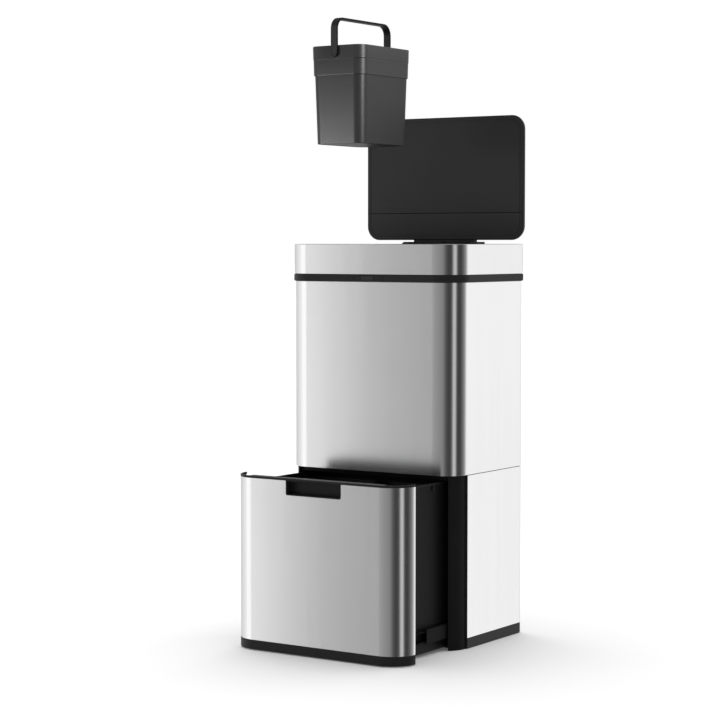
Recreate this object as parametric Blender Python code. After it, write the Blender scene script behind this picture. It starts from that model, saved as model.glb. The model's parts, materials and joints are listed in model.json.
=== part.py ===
"""Stacked kitchen waste and recycling bin, as separate sub-parts.

A steel case stands on a black plinth. Its lower half takes a pull-out drawer with two
recycling buckets, and its upper half holds a waste bucket under a lift-off head with a
motor-driven lid. A small food-waste caddy lifts out of the head.

Metres, +Z up. The front faces -Y. The origin is on the floor under the middle of the case.
The model is in its shown pose: lid upright, drawer pulled out, caddy lifted out.
"""
import math

import bmesh
import bpy
from mathutils import Vector

# ---- Driving dimensions ---------------------------------------------------------------
BODY_W = 0.411            # case width, X
BODY_D = 0.280            # case depth, Y
CORNER_R = 0.052          # front vertical corners
REAR_R = 0.012            # rear vertical corners
SHEET = 0.0012            # steel sheet
GAP = 0.0004              # clearance between touching pieces

PLINTH_TOP = 0.0215
SEAM_Z = 0.3540           # joint between lower and upper case
RING_BOTTOM = 0.7427
RING_TOP = 0.7580
HEAD_TOP = 0.8200
RING_PROUD = 0.0040       # black ring past the case
COLLAR_PROUD = 0.0028     # steel collar past the case
OPENING_INSET = 0.0055    # head opening, in from the case outline
RING_INNER = 0.0060       # inner face of the black ring, in from the case outline

DRAWER_OUT = 0.195        # how far the drawer stands out
DRAWER_LOW = 0.0206       # drawer front, bottom and top
DRAWER_HIGH = 0.3494
TRIM_LOW = 0.3498         # bottom of the black trim on the drawer front
HANDLE_X = -0.001         # middle of the drawer's finger pull
HANDLE_W = 0.1330
HANDLE_Z = 0.3200         # bottom of the finger pull
PULL_BACK_Y = -0.1210     # back of the finger pull, drawer closed
CHASSIS_HALF_W = 0.168    # tray behind the drawer front
CHASSIS_FRONT_Y = -0.1294
CHASSIS_BACK_Y = 0.1180
SLIDE_FRONT_Y = -0.104    # drawer slides, drawer closed
SLIDE_BACK_Y = 0.106

HINGE_Y = 0.1435          # lid axis, along X
HINGE_Z = 0.8090
LID_HALF_W = 0.1965
LID_BOTTOM = 0.8282
LID_TOP = 1.0912
LID_FACE_Y = 0.1550       # inner face of the upright lid
LID_BACK_Y = 0.1698       # rear of the lid's plastic shell, under its steel sheet
LID_WALL = 0.0015
LID_R = 0.030
LID_SEAM_Z = 0.8860       # between the lid's inner panel and its hinge cover
ARM_HALF_W = 0.0760       # lid arm, through the hinge housing
HOUSING_HALF_W = 0.0930
HOUSING_FRONT_Y = 0.1188  # right of HOUSING_STEP_X, where the drive is
HOUSING_LEFT_Y = 0.1331
HOUSING_STEP_X = -0.040
HOUSING_BACK_Y = 0.1715
HOUSING_LOW = 0.7645
HOUSING_TOP = 0.8245
COVER_FRONT_Y = 0.1688    # rear cover and battery door
COVER_BACK_Y = 0.1712
COVER_LOW = 0.7676
COVER_HIGH = 0.7978
COVER_MID_Z = 0.7830

GEAR_MODULE = 0.001
SECTOR_TEETH = 36         # of the full circle
PINION_TEETH = 14
PIN_R = 0.0025            # lid hinge pins
PIN_BORE_R = 0.0028
CELL_R = 0.0070           # battery cells
CELL_YS = (0.1437, 0.1583)
CELL_ZS = (0.7757, 0.7900)

BUTTON_X = 0.0360         # open and close buttons, on the head ring
BUTTON_R = 0.0036
CONTROL_Z = 0.7505

CADDY_X = -0.0236         # lifted caddy
CADDY_Y = -0.1296
CADDY_BASE_Z = 1.0214
CADDY_RIM_Z = 1.2175
CADDY_STORED = (-0.1165, 0.0335, 0.6185)   # middle of its base when it is in the bin
CADDY_PIVOT_Z = 1.2010
HANDLE_TOP_Z = 1.2739

HALF_W = BODY_W / 2
HALF_D = BODY_D / 2
FAR = 0.5                 # past everything, for cutters
SHELL_FRONT_Y = -0.0857   # front edge of the lower side panels
WRAP_END_Y = -HALF_D + CORNER_R

MATERIALS = {
    "steel": ((0.62, 0.62, 0.61), 0.30, 1.0),
    "black_plastic": ((0.020, 0.020, 0.021), 0.42, 0.0),
    "dark_plastic": ((0.012, 0.012, 0.013), 0.50, 0.0),
    "lid_plastic": ((0.030, 0.030, 0.031), 0.45, 0.0),
    "caddy_plastic": ((0.045, 0.045, 0.047), 0.40, 0.0),
    "bucket_plastic": ((0.060, 0.060, 0.064), 0.50, 0.0),
    "zinc_steel": ((0.50, 0.50, 0.51), 0.38, 1.0),
    "coated_steel": ((0.030, 0.030, 0.031), 0.45, 0.0),
    "gear_plastic": ((0.72, 0.70, 0.64), 0.45, 0.0),
    "circuit_board": ((0.02, 0.14, 0.06), 0.50, 0.0),
    "battery_jacket": ((0.10, 0.16, 0.30), 0.35, 0.0),
    "window_plastic": ((0.010, 0.008, 0.012), 0.08, 0.0),
    "rubber": ((0.018, 0.018, 0.018), 0.80, 0.0),
}


# ---- Outlines, all anticlockwise seen from the end of the extrusion axis -----------------
def arc(cx, cy, radius, start, end, steps):
    """Points on an arc, angles in degrees, both ends included."""
    angles = [math.radians(start + (end - start) * i / steps) for i in range(steps + 1)]
    return [(cx + radius * math.cos(a), cy + radius * math.sin(a)) for a in angles]


def rounded_box(x0, x1, y0, y1, near_r, far_r, steps=6):
    """A rectangle whose two corners at y0 have near_r and whose two at y1 have far_r."""
    return (
        arc(x1 - near_r, y0 + near_r, near_r, -90, 0, steps)
        + arc(x1 - far_r, y1 - far_r, far_r, 0, 90, steps)
        + arc(x0 + far_r, y1 - far_r, far_r, 90, 180, steps)
        + arc(x0 + near_r, y0 + near_r, near_r, 180, 270, steps)
    )


def case_outline(offset, steps=8):
    """The case's plan outline, moved outwards by offset."""
    return rounded_box(
        -HALF_W - offset, HALF_W + offset, -HALF_D - offset, HALF_D + offset,
        CORNER_R + offset, max(REAR_R + offset, 0.002), steps,
    )


def front_path(offset, end_y, steps=8):
    """The wrapped front of the case outline, from the left end to the right end."""
    radius = CORNER_R + offset
    left = arc(-HALF_W + CORNER_R, WRAP_END_Y, radius, 180, 270, steps)
    right = arc(HALF_W - CORNER_R, WRAP_END_Y, radius, 270, 360, steps)
    if end_y > WRAP_END_Y:
        left = [(left[0][0], end_y)] + left
        right = right + [(right[-1][0], end_y)]
    return left + right


def front_strip(outer, inner, end_y):
    """A strip that follows the wrapped front between two offsets."""
    return front_path(outer, end_y) + front_path(inner, end_y)[::-1]


def circle(cx, cy, radius, steps=16):
    return arc(cx, cy, radius, 0, 360 - 360 / steps, steps - 1)


def gear_tooth(teeth, addendum, dedendum, play, middle):
    """One involute tooth, root to root, anticlockwise about the gear's centre."""
    pitch_r = teeth * GEAR_MODULE / 2
    base_r = pitch_r * math.cos(math.radians(20))
    half = math.pi / (2 * teeth) - play / (2 * pitch_r)
    involute = math.tan(math.radians(20)) - math.radians(20)
    root_r = pitch_r - dedendum
    tip_r = pitch_r + addendum
    low_r = max(base_r, root_r)
    flank = []
    for i in range(4):
        r = low_r + (tip_r - low_r) * i / 3
        turn = math.acos(min(1.0, base_r / r))
        flank.append((r, half + involute - (math.tan(turn) - turn)))
    if root_r < base_r:
        flank.insert(0, (root_r, flank[0][1]))
    rising = [(r, middle - a) for r, a in flank]
    falling = [(r, middle + a) for r, a in reversed(flank)]
    return rising + falling


def gear_outline(teeth, first, count, start, cx, cy, addendum, play=0.00025):
    """Teeth first to first + count - 1, with tooth 0 centred on the angle start."""
    points = []
    for k in range(first, first + count):
        middle = start + 2 * math.pi * k / teeth
        points += gear_tooth(teeth, addendum, 1.25 * GEAR_MODULE, play, middle)
    return [(cx + r * math.cos(a), cy + r * math.sin(a)) for r, a in points]


# ---- Building objects --------------------------------------------------------------------
def clear_scene():
    for item in list(bpy.data.objects):
        bpy.data.objects.remove(item, do_unlink=True)


def get_material(name):
    """A Principled material from the table above, made once."""
    found = bpy.data.materials.get(name)
    if found:
        return found
    colour, roughness, metallic = MATERIALS[name]
    made = bpy.data.materials.new(name)
    made.use_nodes = True
    shader = made.node_tree.nodes["Principled BSDF"]
    shader.inputs["Base Color"].default_value = (*colour, 1.0)
    shader.inputs["Roughness"].default_value = roughness
    shader.inputs["Metallic"].default_value = metallic
    return made


def make_object(name, points, faces, material, origin=(0, 0, 0)):
    """A mesh object from world points, with its origin where its joint axis is."""
    shift = Vector(origin)
    mesh = bpy.data.meshes.new(name)
    mesh.from_pydata([Vector(p) - shift for p in points], [], faces)
    work = bmesh.new()
    work.from_mesh(mesh)
    bmesh.ops.recalc_face_normals(work, faces=work.faces)
    work.to_mesh(mesh)
    work.free()
    mesh.shade_smooth()
    mesh.set_sharp_from_angle(angle=math.radians(32))
    made = bpy.data.objects.new(name, mesh)
    bpy.context.scene.collection.objects.link(made)
    made.location = shift
    if material:
        mesh.materials.append(get_material(material))
    return made


def loft(name, loops, material, origin=(0, 0, 0), closed=False):
    """Bridges equal loops of points. Ends are capped, or joined to each other if closed."""
    count = len(loops[0])
    points = [p for loop in loops for p in loop]
    spans = len(loops) if closed else len(loops) - 1
    faces = []
    for i in range(spans):
        a, b = i * count, ((i + 1) % len(loops)) * count
        for k in range(count):
            n = (k + 1) % count
            faces.append((a + k, a + n, b + n, b + k))
    if not closed:
        faces.append(tuple(range(count)))
        faces.append(tuple(range((len(loops) - 1) * count, len(loops) * count)))
    return make_object(name, points, faces, material, origin)


def level(outline, z):
    return [(x, y, z) for x, y in outline]


def extrude(name, outline, low, high, material, axis="z", origin=(0, 0, 0)):
    """A prism. The outline is in (x, y) for axis z, (y, z) for x and (x, z) for y."""
    place = {
        "z": lambda u, v, w: (u, v, w),
        "x": lambda u, v, w: (w, u, v),
        "y": lambda u, v, w: (u, w, v),
    }[axis]
    loops = [[place(u, v, w) for u, v in outline] for w in (low, high)]
    return loft(name, loops, material, origin)


def block(name, x0, x1, y0, y1, z0, z1, material, origin=(0, 0, 0)):
    outline = [(x0, y0), (x1, y0), (x1, y1), (x0, y1)]
    return extrude(name, outline, z0, z1, material, "z", origin)


def band(name, sections, material, origin=(0, 0, 0)):
    """A ring round the case outline, from its (offset, z) cross-section."""
    loops = [level(case_outline(offset), z) for offset, z in sections]
    return loft(name, loops, material, origin, closed=True)


def modify(target, tool, operation):
    """Adds an exact Boolean and turns the tool into a hidden guide."""
    change = target.modifiers.new(operation.lower(), "BOOLEAN")
    change.operation = operation
    change.object = tool
    change.solver = "EXACT"
    tool.hide_render = True
    tool.display_type = "WIRE"


def cut(target, *tools):
    for tool in tools:
        modify(target, tool, "DIFFERENCE")


def add(target, *tools):
    for tool in tools:
        modify(target, tool, "UNION")


# ---- Case --------------------------------------------------------------------------------
def make_plinth():
    outline = rounded_box(-HALF_W, HALF_W, SHELL_FRONT_Y, HALF_D, 0.001, REAR_R)
    plinth = extrude("base_plinth", outline, 0, PLINTH_TOP, "black_plastic")
    well = block("plinth_well", -0.1838, 0.1838, -FAR, 0.126, 0.0025, FAR, None)
    cut(plinth, well)


def make_lower_shell():
    outer = rounded_box(-HALF_W, HALF_W, SHELL_FRONT_Y, HALF_D, 0.0, REAR_R)
    inside = rounded_box(
        -HALF_W + SHEET, HALF_W - SHEET, SHELL_FRONT_Y, HALF_D - SHEET, 0.0, REAR_R - SHEET
    )
    far = slice(7, 21)
    start, end = (HALF_W, SHELL_FRONT_Y), (-HALF_W, SHELL_FRONT_Y)
    inner_start, inner_end = (HALF_W - SHEET, SHELL_FRONT_Y), (-HALF_W + SHEET, SHELL_FRONT_Y)
    outline = [start] + outer[far] + [end, inner_end] + inside[far][::-1] + [inner_start]
    extrude("lower_case_shell", outline, PLINTH_TOP + GAP, SEAM_Z - 0.0008, "steel")


def jamb_outline(side):
    """One upright of the front frame, which the drawer front wraps over."""
    radius = CORNER_R - 0.004
    inner_x = 0.1835
    spread = math.degrees(math.acos((inner_x - HALF_W + CORNER_R) / radius))
    curve = arc(HALF_W - CORNER_R, WRAP_END_Y, radius, -spread, 0, 6)
    points = curve + [(HALF_W - SHEET - GAP, SHELL_FRONT_Y), (0.2039, -0.070), (inner_x, -0.070)]
    return points if side > 0 else [(-x, y) for x, y in reversed(points)]


def make_front_frame():
    top = SEAM_Z - 0.0008
    frame = extrude("front_frame", jamb_outline(1), 0.0, top, "dark_plastic")
    other = extrude("frame_left_jamb", jamb_outline(-1), 0.0, top, None)
    crossbar = block("frame_crossbar", -0.19, 0.19, -0.118, -0.094, 0.344, top, None)
    sill = block("frame_sill", -0.19, 0.19, -0.100, SHELL_FRONT_Y - 0.0006, 0.0, 0.003, None)
    foot = block("frame_foot_cut", -FAR, FAR, SHELL_FRONT_Y - 0.0006, FAR, -FAR, PLINTH_TOP + GAP, None)
    add(frame, other, crossbar, sill)
    cut(frame, foot)


def make_divider_deck():
    inset = -SHEET - 0.0005
    deck = extrude("divider_deck", case_outline(inset), 0.3545, 0.3580, "dark_plastic")
    outline = rounded_box(-0.2036, 0.2036, -0.069, 0.1380, 0.001, REAR_R - SHEET)
    add(deck, extrude("deck_plug", outline, 0.3490, 0.3550, None))


def make_upper_shell():
    low, high = SEAM_Z + 0.0002, RING_BOTTOM
    band("upper_shell", [(0, low), (0, high), (-SHEET, high), (-SHEET, low)], "steel")


def bucket_loop(x0, x1, y0, y1, radius, z, steps=4):
    return level(rounded_box(x0, x1, y0, y1, radius, radius, steps), z)


def make_inner_bucket():
    """The waste bucket. Its left side is stepped, as a shelf for the caddy."""
    rim, floor, wall = 0.7380, 0.3585, 0.002
    shelf = CADDY_STORED[2] - 0.0005
    x0, x1, y = -0.1935, 0.1935, 0.1270
    loops = [
        bucket_loop(-0.0480, 0.1835, -0.1170, 0.1170, 0.030, floor),
        bucket_loop(-0.0480, 0.1910, -0.1245, 0.1245, 0.034, shelf - wall),
        bucket_loop(x0 + 0.0025, 0.1910, -0.1245, 0.1245, 0.034, shelf - wall),
        bucket_loop(x0, x1, -y, y, 0.036, rim),
        bucket_loop(x0 + wall, x1 - wall, -y + wall, y - wall, 0.034, rim),
        bucket_loop(x0 + 0.0045, 0.1890, -0.1225, 0.1225, 0.032, shelf),
        bucket_loop(-0.0460, 0.1890, -0.1225, 0.1225, 0.032, shelf),
        bucket_loop(-0.0460, 0.1815, -0.1150, 0.1150, 0.028, floor + wall),
    ]
    loft("inner_bucket", loops, "bucket_plastic")


# ---- Drawer ------------------------------------------------------------------------------
def at_drawer(outline):
    return [(x, y - DRAWER_OUT) for x, y in outline]


DRAWER_ORIGIN = (0, -HALF_D - DRAWER_OUT, 0.18)


def pull_cutter(name, grow, back_y):
    """The finger pull's space: square at the top, small corners at the bottom."""
    half = HANDLE_W / 2 + grow
    outline = rounded_box(HANDLE_X - half, HANDLE_X + half, HANDLE_Z - grow, FAR, 0.004, 0.001, 4)
    return extrude(name, outline, -FAR, back_y, None, "y")


def make_drawer_front():
    low, high = DRAWER_LOW, DRAWER_HIGH
    pull_back_y = PULL_BACK_Y - DRAWER_OUT
    strip = at_drawer(front_strip(0, -SHEET, WRAP_END_Y))
    skin = extrude("drawer_front_skin", strip, low, high, "steel", "z", DRAWER_ORIGIN)
    cut(skin, pull_cutter("skin_pull_cut", 0, pull_back_y + 0.016))

    radius = CORNER_R - SHEET - GAP
    edge_x = 0.178
    spread = math.degrees(math.acos((edge_x - HALF_W + CORNER_R) / radius))
    right = arc(HALF_W - CORNER_R, WRAP_END_Y, radius, -90, -spread, 5)
    left = [(-x, y) for x, y in reversed(right)]
    back_y = CHASSIS_FRONT_Y - 0.0006
    outline = at_drawer(left + right + [(edge_x, back_y), (-edge_x, back_y)])
    back = extrude("drawer_front_backing", outline, low, high, "dark_plastic", "z", DRAWER_ORIGIN)
    cut(back, pull_cutter("backing_pull_cut", 0.0003, pull_back_y + 0.016))

    strip = at_drawer(front_strip(0.0005, -0.0034, WRAP_END_Y))
    trim = extrude("drawer_top_trim", strip, TRIM_LOW, SEAM_Z, "black_plastic", "z", DRAWER_ORIGIN)
    y0 = -HALF_D + 0.0015 - DRAWER_OUT
    add(trim, block("trim_shelf", -0.160, 0.160, y0, pull_back_y, TRIM_LOW, SEAM_Z, None))

    half = HANDLE_W / 2 - GAP
    x0, x1 = HANDLE_X - half, HANDLE_X + half
    outer = rounded_box(x0, x1, HANDLE_Z + GAP, high, 0.004, 0.001, 4)
    inner = rounded_box(x0 + 0.0018, x1 - 0.0018, HANDLE_Z + 0.0022, high - 0.0016, 0.0028, 0.001, 4)
    front = -HALF_D - DRAWER_OUT
    loops = [
        [(x, pull_back_y, z) for x, z in outer],
        [(x, front, z) for x, z in outer],
        [(x, front, z) for x, z in inner],
        [(x, pull_back_y - 0.0018, z) for x, z in inner],
    ]
    loft("drawer_finger_pull", loops, "black_plastic", DRAWER_ORIGIN)

    strip = at_drawer(front_strip(0.0006, -0.0024, WRAP_END_Y))
    extrude("drawer_skirt", strip, 0.0012, 0.0202, "black_plastic", "z", DRAWER_ORIGIN)


def make_drawer_chassis():
    x, y0, y1 = CHASSIS_HALF_W, CHASSIS_FRONT_Y - DRAWER_OUT, CHASSIS_BACK_Y - DRAWER_OUT
    wall, floor, rim = 0.0025, 0.0040, 0.3420
    pull = block("chassis_pull_cut", -0.07, 0.07, y0 - 0.01, y0 + 0.0090, HANDLE_Z - 0.002, FAR, None)
    loops = [
        bucket_loop(-x, x, y0, y1, 0.006, floor),
        bucket_loop(-x, x, y0, y1, 0.006, rim),
        bucket_loop(-x + wall, x - wall, y0 + wall, y1 - wall, 0.0035, rim),
        bucket_loop(-x + wall, x - wall, y0 + wall, y1 - wall, 0.0035, floor + wall),
    ]
    chassis = loft("drawer_chassis", loops, "dark_plastic", DRAWER_ORIGIN)
    cut(chassis, pull)


def make_recycling_bucket(name, x0, x1):
    y0 = CHASSIS_FRONT_Y + 0.0129 - DRAWER_OUT
    y1 = CHASSIS_BACK_Y - 0.0040 - DRAWER_OUT
    base, rim, wall, draft, lip = 0.0070, 0.3300, 0.002, 0.007, 0.004
    low_x0, low_x1 = x0 + lip + draft, x1 - lip - draft
    low_y0, low_y1 = y0 + lip + draft, y1 - lip - draft
    loops = [
        bucket_loop(low_x0, low_x1, low_y0, low_y1, 0.018, base),
        bucket_loop(x0 + lip, x1 - lip, y0 + lip, y1 - lip, 0.022, rim - 0.006),
        bucket_loop(x0, x1, y0, y1, 0.026, rim - 0.006),
        bucket_loop(x0, x1, y0, y1, 0.026, rim),
        bucket_loop(x0 + lip + wall, x1 - lip - wall, y0 + lip + wall, y1 - lip - wall, 0.020, rim),
        bucket_loop(low_x0 + wall, low_x1 - wall, low_y0 + wall, low_y1 - wall, 0.016, base + wall),
    ]
    loft(name, loops, "bucket_plastic", DRAWER_ORIGIN)


def channel(name, side, web, opening, z0, z1, y0, y1, material, origin, thick=0.0012):
    """A C-shaped rail along Y. Its web is at x = web and it opens towards x = opening."""
    inwards = thick if opening > web else -thick
    outline = [
        (web, z0), (opening, z0), (opening, z0 + thick), (web + inwards, z0 + thick),
        (web + inwards, z1 - thick), (opening, z1 - thick), (opening, z1), (web, z1),
    ]
    outline = [(side * x, z) for x, z in outline]
    return extrude(name, outline, y0, y1, material, "y", origin)


def make_slides():
    """Three-part slides: outer rails on the case, inner rails on the drawer, and one between."""
    half_out = DRAWER_OUT / 2
    middle_y = SLIDE_FRONT_Y - half_out
    for word, side in (("left", -1), ("right", 1)):
        channel("slide_bracket_" + word, side, 0.1829, 0.2036, 0.0222, 0.0580, -0.066, 0.122,
                "dark_plastic", (0, 0, 0), 0.0016)
        channel("slide_outer_" + word, side, 0.1825, 0.1722, 0.0240, 0.0560,
                SLIDE_FRONT_Y, SLIDE_BACK_Y + 0.004, "coated_steel", (0, 0, 0))
        channel("slide_middle_" + word, side, 0.1808, 0.1714, 0.0258, 0.0542,
                middle_y, SLIDE_BACK_Y - half_out, "coated_steel", (side * 0.176, middle_y, 0.04))
        channel("slide_inner_" + word, side, 0.1684, 0.1790, 0.0290, 0.0510,
                SLIDE_FRONT_Y - 0.004 - DRAWER_OUT, SLIDE_BACK_Y - DRAWER_OUT, "coated_steel",
                DRAWER_ORIGIN)


# ---- Head --------------------------------------------------------------------------------
def make_head_ring():
    low, high = RING_BOTTOM + 0.0003, RING_TOP - 0.0002
    skirt_low, skirt_outer, inner = RING_BOTTOM - 0.0082, -SHEET - 0.0006, -RING_INNER
    sections = [
        (RING_PROUD, low), (RING_PROUD, high), (inner, high),
        (inner, skirt_low), (skirt_outer, skirt_low), (skirt_outer, low),
    ]
    ring = band("head_ring", sections, "black_plastic")
    face = -HALF_D - RING_PROUD
    seat_z = (CONTROL_Z - 0.0053, CONTROL_Z + 0.0053)
    cut(ring, block("sensor_seat", -0.0165, 0.0165, -FAR, face + 0.0035, *seat_z, None))
    for x in (-BUTTON_X, BUTTON_X):
        outline = circle(x, CONTROL_Z, BUTTON_R + GAP)
        cut(ring, extrude("button_bore", outline, -FAR, face + 0.0065, None, "y"))


def housing_notch(name):
    """The gap in the rear of the head where the hinge housing sits."""
    x = HOUSING_HALF_W + 0.0006
    return block(name, -x, x, 0.10, FAR, HOUSING_LOW - 0.0005, FAR + 0.5, None)


def make_collar():
    low, high, lip = RING_TOP + 0.0002, HEAD_TOP, 0.0050
    out, inn = COLLAR_PROUD, COLLAR_PROUD - SHEET
    sections = [
        (out, low), (out, high - 0.0008), (out - 0.0008, high), (out - lip, high),
        (out - lip, high - SHEET), (inn, high - SHEET), (inn, low),
    ]
    collar = band("collar_band", sections, "steel")
    cut(collar, housing_notch("collar_notch"))


def make_head_frame():
    low, top = RING_TOP + 0.0002, HEAD_TOP - 0.0002
    under = HEAD_TOP - SHEET - 0.0004
    hem = COLLAR_PROUD - 0.0050 - 0.0004
    wall = 0.0016
    outer, inner = COLLAR_PROUD - SHEET - GAP, -OPENING_INSET
    sections = [
        (outer, low), (outer, under), (hem, under), (hem, top), (inner, top), (inner, low),
        (inner + wall, low), (inner + wall, under - wall), (outer - wall, under - wall),
        (outer - wall, low),
    ]
    frame = band("head_frame", sections, "black_plastic")
    cut(frame, housing_notch("frame_notch"))


def make_hinge_housing():
    """A hollow block at the rear. Its two rounded ears carry the lid's pins."""
    shoulder, top, floor = HEAD_TOP - 0.0002, HOUSING_TOP, HINGE_Z - 0.0078
    left_y, front, back = HOUSING_LEFT_Y, HOUSING_FRONT_Y, HOUSING_BACK_Y
    ear = arc(HINGE_Y, HINGE_Z, top - HINGE_Z, 90, 130, 4)
    profile = [(left_y, HOUSING_LOW), (back, HOUSING_LOW), (back, top)] + ear + [(left_y, shoulder)]
    housing = extrude("hinge_housing", profile, -HOUSING_HALF_W, HOUSING_HALF_W, "black_plastic", "x")
    step_x, half, wall, high = HOUSING_STEP_X, HOUSING_HALF_W, 0.0018, FAR + 0.5
    add(housing, block("housing_front", step_x, half, front, left_y + 0.001, HOUSING_LOW, shoulder, None))
    x = half - 0.0025
    trough_x = ARM_HALF_W + 0.0020
    cavity_z = (HOUSING_LOW + 0.0025, floor - 0.0026)
    slot_y = (HINGE_Y - 0.0202, HINGE_Y + 0.0202)
    cut(
        housing,
        block("housing_cavity", -x, x, left_y + wall, FAR, *cavity_z, None),
        block("housing_front_cavity", step_x + wall, x, front + wall, 0.15, *cavity_z, None),
        block("housing_shoulder", -trough_x, trough_x, 0.1, FAR, shoulder, high, None),
        block("housing_trough", -trough_x, trough_x, HINGE_Y - 0.0088, FAR, floor, high, None),
        block("housing_gear_slot", -0.0062, 0.0062, *slot_y, floor - 0.012, high, None),
        extrude("housing_pin_bore", circle(HINGE_Y, HINGE_Z, PIN_BORE_R), -FAR, FAR, None, "x"),
    )
    for word, side in (("left", -1), ("right", 1)):
        ends = sorted((side * 0.0670, side * (HOUSING_HALF_W - 0.001)))
        extrude("hinge_pin_" + word, circle(HINGE_Y, HINGE_Z, PIN_R), *ends, "zinc_steel", "x")


def make_drive():
    pinion_z = HINGE_Z - (SECTOR_TEETH + PINION_TEETH) * GEAR_MODULE / 2
    start = math.radians(90) + math.pi / PINION_TEETH
    outline = gear_outline(PINION_TEETH, 0, PINION_TEETH, start, HINGE_Y, pinion_z, 0.0009)
    origin = (0, HINGE_Y, pinion_z)
    pinion = extrude("drive_pinion", outline, -0.0045, 0.0045, "gear_plastic", "x", origin)
    shaft = extrude("pinion_shaft", circle(HINGE_Y, pinion_z, 0.0015, 12), 0.004, 0.012, None, "x")
    add(pinion, shaft)
    gearbox = block("drive_gearbox", 0.0080, 0.0260, HINGE_Y - 0.011, HINGE_Y + 0.011,
                    pinion_z - 0.0125, pinion_z + 0.0115, "gear_plastic")
    cut(gearbox, extrude("gearbox_bore", circle(HINGE_Y, pinion_z, 0.0018, 12), 0.0, 0.013, None, "x"))
    extrude("drive_motor", circle(HINGE_Y, pinion_z, 0.0105, 24), 0.0264, 0.0580, "zinc_steel", "x")


def make_electronics():
    y = HOUSING_FRONT_Y + 0.0022
    board = block("control_board", 0.0120, 0.0860, y, y + 0.0016, 0.7690, 0.7960, "circuit_board")
    chip = block("board_chip", 0.066, 0.078, y + 0.0012, y + 0.0030, 0.777, 0.789, None)
    relay = block("board_relay", 0.042, 0.056, y + 0.0012, y + 0.0080, 0.773, 0.785, None)
    add(board, chip, relay)


def make_batteries():
    x0, x1, y0, y1, wall = -0.0880, -0.0335, 0.1350, 0.1665, 0.0012
    z0, z1 = HOUSING_LOW + 0.0029, COVER_HIGH + 0.0002
    tray = block("battery_tray", x0, x1, y0, y1, z0, z1, "dark_plastic")
    cut(tray, block("tray_space", x0 + wall, x1 - wall, y0 + wall, FAR, z0 + 0.0011, z1 - 0.0009, None))
    number = 0
    for y in CELL_YS:
        for z in CELL_ZS:
            number += 1
            name = "battery_cell_%d" % number
            outline = circle(y, z, CELL_R, 14)
            extrude(name, outline, x0 + 0.0016, x1 - 0.0016, "battery_jacket", "x")
    block("battery_door", -0.0895, -0.0325, COVER_FRONT_Y, COVER_BACK_Y, COVER_LOW, COVER_HIGH,
          "black_plastic", (-0.061, COVER_BACK_Y, 0.7825))


def make_rear_cover():
    """The fixed half of the rear cover, with the power switch and two screws."""
    middle, back = COVER_MID_Z, COVER_BACK_Y
    cover = block("housing_cover", -0.0320, 0.0895, COVER_FRONT_Y, back, COVER_LOW, COVER_HIGH,
                  "black_plastic")
    cut(cover, block("switch_window", 0.0600, 0.0730, 0.1, FAR, middle - 0.003, middle + 0.003, None))
    origin = (0.0640, back, middle)
    switch = block("power_switch", 0.0605, 0.0675, 0.1665, back + 0.0012, middle - 0.0026,
                   middle + 0.0026, "rubber", origin)
    base = block("switch_base", 0.0585, 0.0705, 0.1650, COVER_FRONT_Y - 0.0006, middle - 0.005,
                 middle + 0.005, None)
    add(switch, base)
    for number, x in ((1, -0.0250), (2, 0.0830)):
        cut(cover, extrude("cover_hole", circle(x, middle, 0.0022, 12), 0.1, FAR, None, "y"))
        screw("cover_screw_%d" % number, x, middle, back - 0.0008, 0.0040)


def screw(name, x, z, head_y, length):
    """A countersunk screw along Y, with its head at the rear."""
    loops = [
        [(px, head_y - length, pz) for px, pz in circle(x, z, 0.0012, 12)],
        [(px, head_y - 0.0010, pz) for px, pz in circle(x, z, 0.0012, 12)],
        [(px, head_y, pz) for px, pz in circle(x, z, 0.0019, 12)],
    ]
    return loft(name, loops, "zinc_steel")


def make_controls():
    face = -HALF_D - RING_PROUD
    block("sensor_window", -0.0160, 0.0160, face - 0.0002, face + 0.0030, CONTROL_Z - 0.0049,
          CONTROL_Z + 0.0049, "window_plastic")
    for name, x in (("open_button", -BUTTON_X), ("close_button", BUTTON_X)):
        outline = circle(x, CONTROL_Z, BUTTON_R)
        extrude(name, outline, face - 0.0010, face + 0.0050, "rubber", "y", (x, face, CONTROL_Z))


# ---- Lid ---------------------------------------------------------------------------------
LID_ORIGIN = (0, HINGE_Y, HINGE_Z)


def lid_outline(inset, y, z0=LID_BOTTOM, z1=LID_TOP):
    radius = LID_R - inset
    half = LID_HALF_W - inset
    outline = rounded_box(-half, half, z0 + inset, z1 - inset, radius, radius, 7)
    return [(x, y, z) for x, z in outline]


def lid_shell_loops(wall, face_inset):
    """The rounded side of the lid's shell, from its rear to its inner face."""
    deep, start = 0.010, LID_FACE_Y + 0.0030
    back = LID_BACK_Y - wall
    loops = []
    for step in range(7):
        turn = math.radians(90 - 15 * step)
        inset = deep - (deep - wall) * math.cos(turn)
        loops.append(lid_outline(inset, start + (back - start) * math.sin(turn)))
    return loops + [lid_outline(wall + face_inset, LID_FACE_Y)]


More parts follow.
